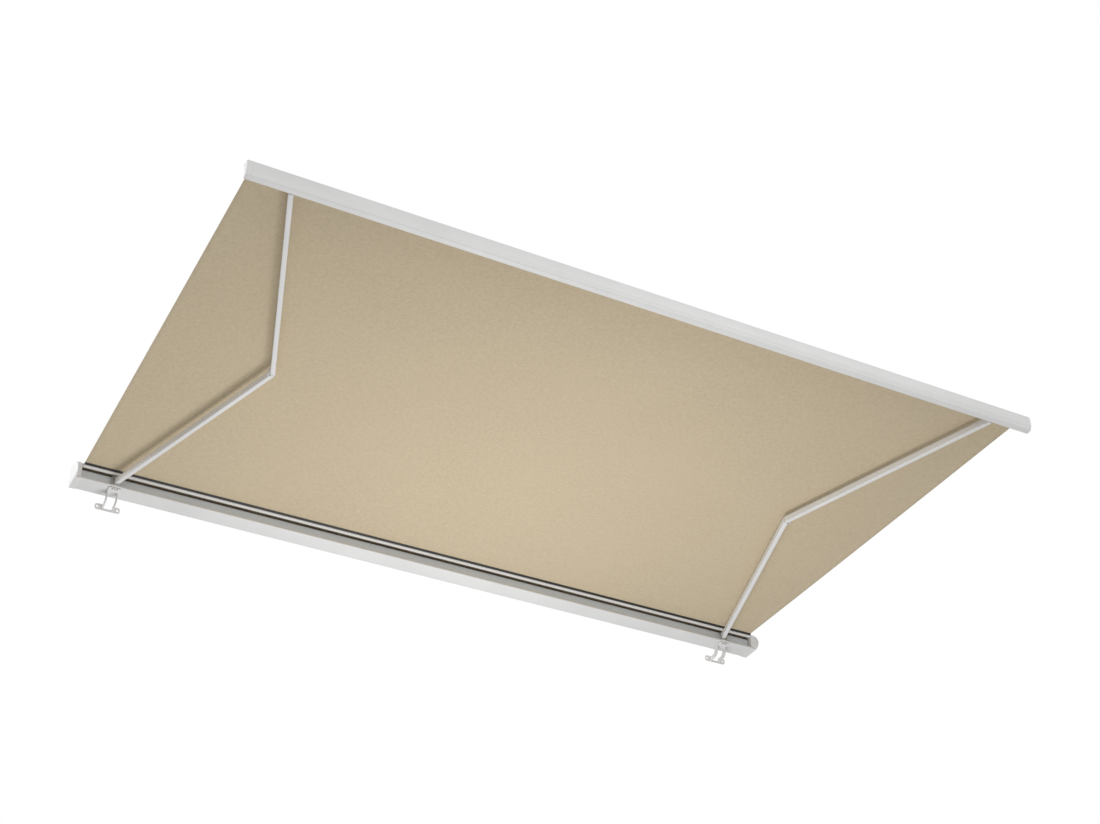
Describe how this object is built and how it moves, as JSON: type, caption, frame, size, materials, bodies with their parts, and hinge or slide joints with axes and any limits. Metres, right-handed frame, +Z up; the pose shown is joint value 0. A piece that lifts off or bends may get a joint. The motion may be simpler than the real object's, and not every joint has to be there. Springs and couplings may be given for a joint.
{
  "type": "folding arm awning",
  "caption": "Wide canvas awning with folding arms, a full cassette with roller, wall brackets and a straight front bar, shown drawn out.",
  "frame": {"origin": "mid-width, on the wall face, at the height of the wall brackets' screw holes", "axes": "+X along the cassette to the motor's side, +Y into the wall, +Z up; the cloth is drawn out towards -Y"},
  "size_m": [4.528, 2.9484, 0.2265],
  "materials": {
    "white_paint": "fine white powder coat",
    "white_plastic": "fine-textured white moulding",
    "bright_steel": "zinc plated",
    "dark_steel": "dark satin coat",
    "canvas": "plain woven acrylic canvas, sand beige",
    "black_plastic": "matt black moulding"
  },
  "bodies": {
    "cassette": {"bottom_shell": "white_paint", "back_housing": "white_paint", "top_hood": "white_paint", "arm_bay_panel": "white_paint", "guide_tube": "white_paint", "canopy": "canvas", "tube_motor": "dark_steel", "roller_bearing": "white_plastic", "mouth_seal": "black_plastic", "guide_plug_left": "black_plastic", "guide_plug_right": "black_plastic", "end_cap_left": "white_plastic", "end_cap_right": "white_plastic", "shoulder_bracket_left": "white_paint", "shoulder_bracket_right": "white_paint", "shoulder_pin_left": "bright_steel", "shoulder_pin_right": "bright_steel", "wall_bracket_left": "white_paint", "wall_bracket_right": "white_paint", "foot_screw_left_1": "dark_steel", "foot_screw_left_2": "dark_steel", "foot_screw_left_3": "dark_steel", "foot_screw_right_1": "dark_steel", "foot_screw_right_2": "dark_steel", "foot_screw_right_3": "dark_steel", "end_cap_screw_left_upper": "dark_steel", "end_cap_screw_left_lower": "dark_steel", "end_cap_screw_right_upper": "dark_steel", "end_cap_screw_right_lower": "dark_steel"},
    "roller": {"roller_tube": "bright_steel", "cloth_turns": "canvas", "motor_crown": "black_plastic", "drive_wheel": "black_plastic", "roller_plug": "black_plastic"},
    "left_upper_arm": {"upper_arm_left": "white_paint", "elbow_fork_left": "white_paint", "shoulder_knuckle_left": "white_paint", "arm_spring_left": "bright_steel", "spring_rod_left": "bright_steel", "elbow_pin_left": "bright_steel"},
    "left_forearm": {"forearm_left": "white_paint", "elbow_knuckle_left": "white_paint", "wrist_knuckle_left": "white_paint"},
    "right_upper_arm": {"upper_arm_right": "white_paint", "elbow_fork_right": "white_paint", "shoulder_knuckle_right": "white_paint", "arm_spring_right": "bright_steel", "spring_rod_right": "bright_steel", "elbow_pin_right": "bright_steel"},
    "right_forearm": {"forearm_right": "white_paint", "elbow_knuckle_right": "white_paint", "wrist_knuckle_right": "white_paint"},
    "bar": {"front_bar": "white_paint", "keder_rod": "black_plastic", "bar_cap_left": "white_plastic", "bar_cap_right": "white_plastic", "wrist_bracket_left": "white_paint", "wrist_bracket_right": "white_paint", "wrist_pin_left": "bright_steel", "wrist_pin_right": "bright_steel"}
  },
  "joints": [
    {"name": "left_shoulder", "type": "hinge", "parent": "cassette", "child": "left_upper_arm", "pos_m": [-2.022, -0.116, 0.114], "axis": [0, 0, 1], "range_deg": [0, 72.91], "deforming": ["canopy"]},
    {"name": "left_elbow", "type": "hinge", "parent": "left_upper_arm", "child": "left_forearm", "pos_m": [-1.61, -1.5175, 0.114], "axis": [0, 0, 1], "range_deg": [-145.9, 0]},
    {"name": "left_wrist", "type": "hinge", "parent": "left_forearm", "child": "bar", "pos_m": [-2.022, -2.919, 0.114], "axis": [0, 0, 1], "range_deg": [0, 73]},
    {"name": "right_shoulder", "type": "hinge", "parent": "cassette", "child": "right_upper_arm", "pos_m": [2.022, -0.116, 0.114], "axis": [0, 0, 1], "range_deg": [-73, 0]},
    {"name": "right_elbow", "type": "hinge", "parent": "right_upper_arm", "child": "right_forearm", "pos_m": [1.61, -1.5175, 0.114], "axis": [0, 0, 1], "range_deg": [0, 145.9]},
    {"name": "roller_turn", "type": "hinge", "parent": "cassette", "child": "roller", "pos_m": [0, -0.054, 0.131], "axis": [1, 0, 0], "range_deg": [-3780, 0]}
  ],
  "couplings": [
    {"joint": "left_elbow", "follows": "left_shoulder", "ratio": -2},
    {"joint": "left_wrist", "follows": "left_shoulder", "ratio": 1},
    {"joint": "right_shoulder", "follows": "left_shoulder", "ratio": -1},
    {"joint": "right_elbow", "follows": "left_shoulder", "ratio": 2},
    {"joint": "roller_turn", "follows": "left_shoulder", "ratio": -51.8}
  ]
}
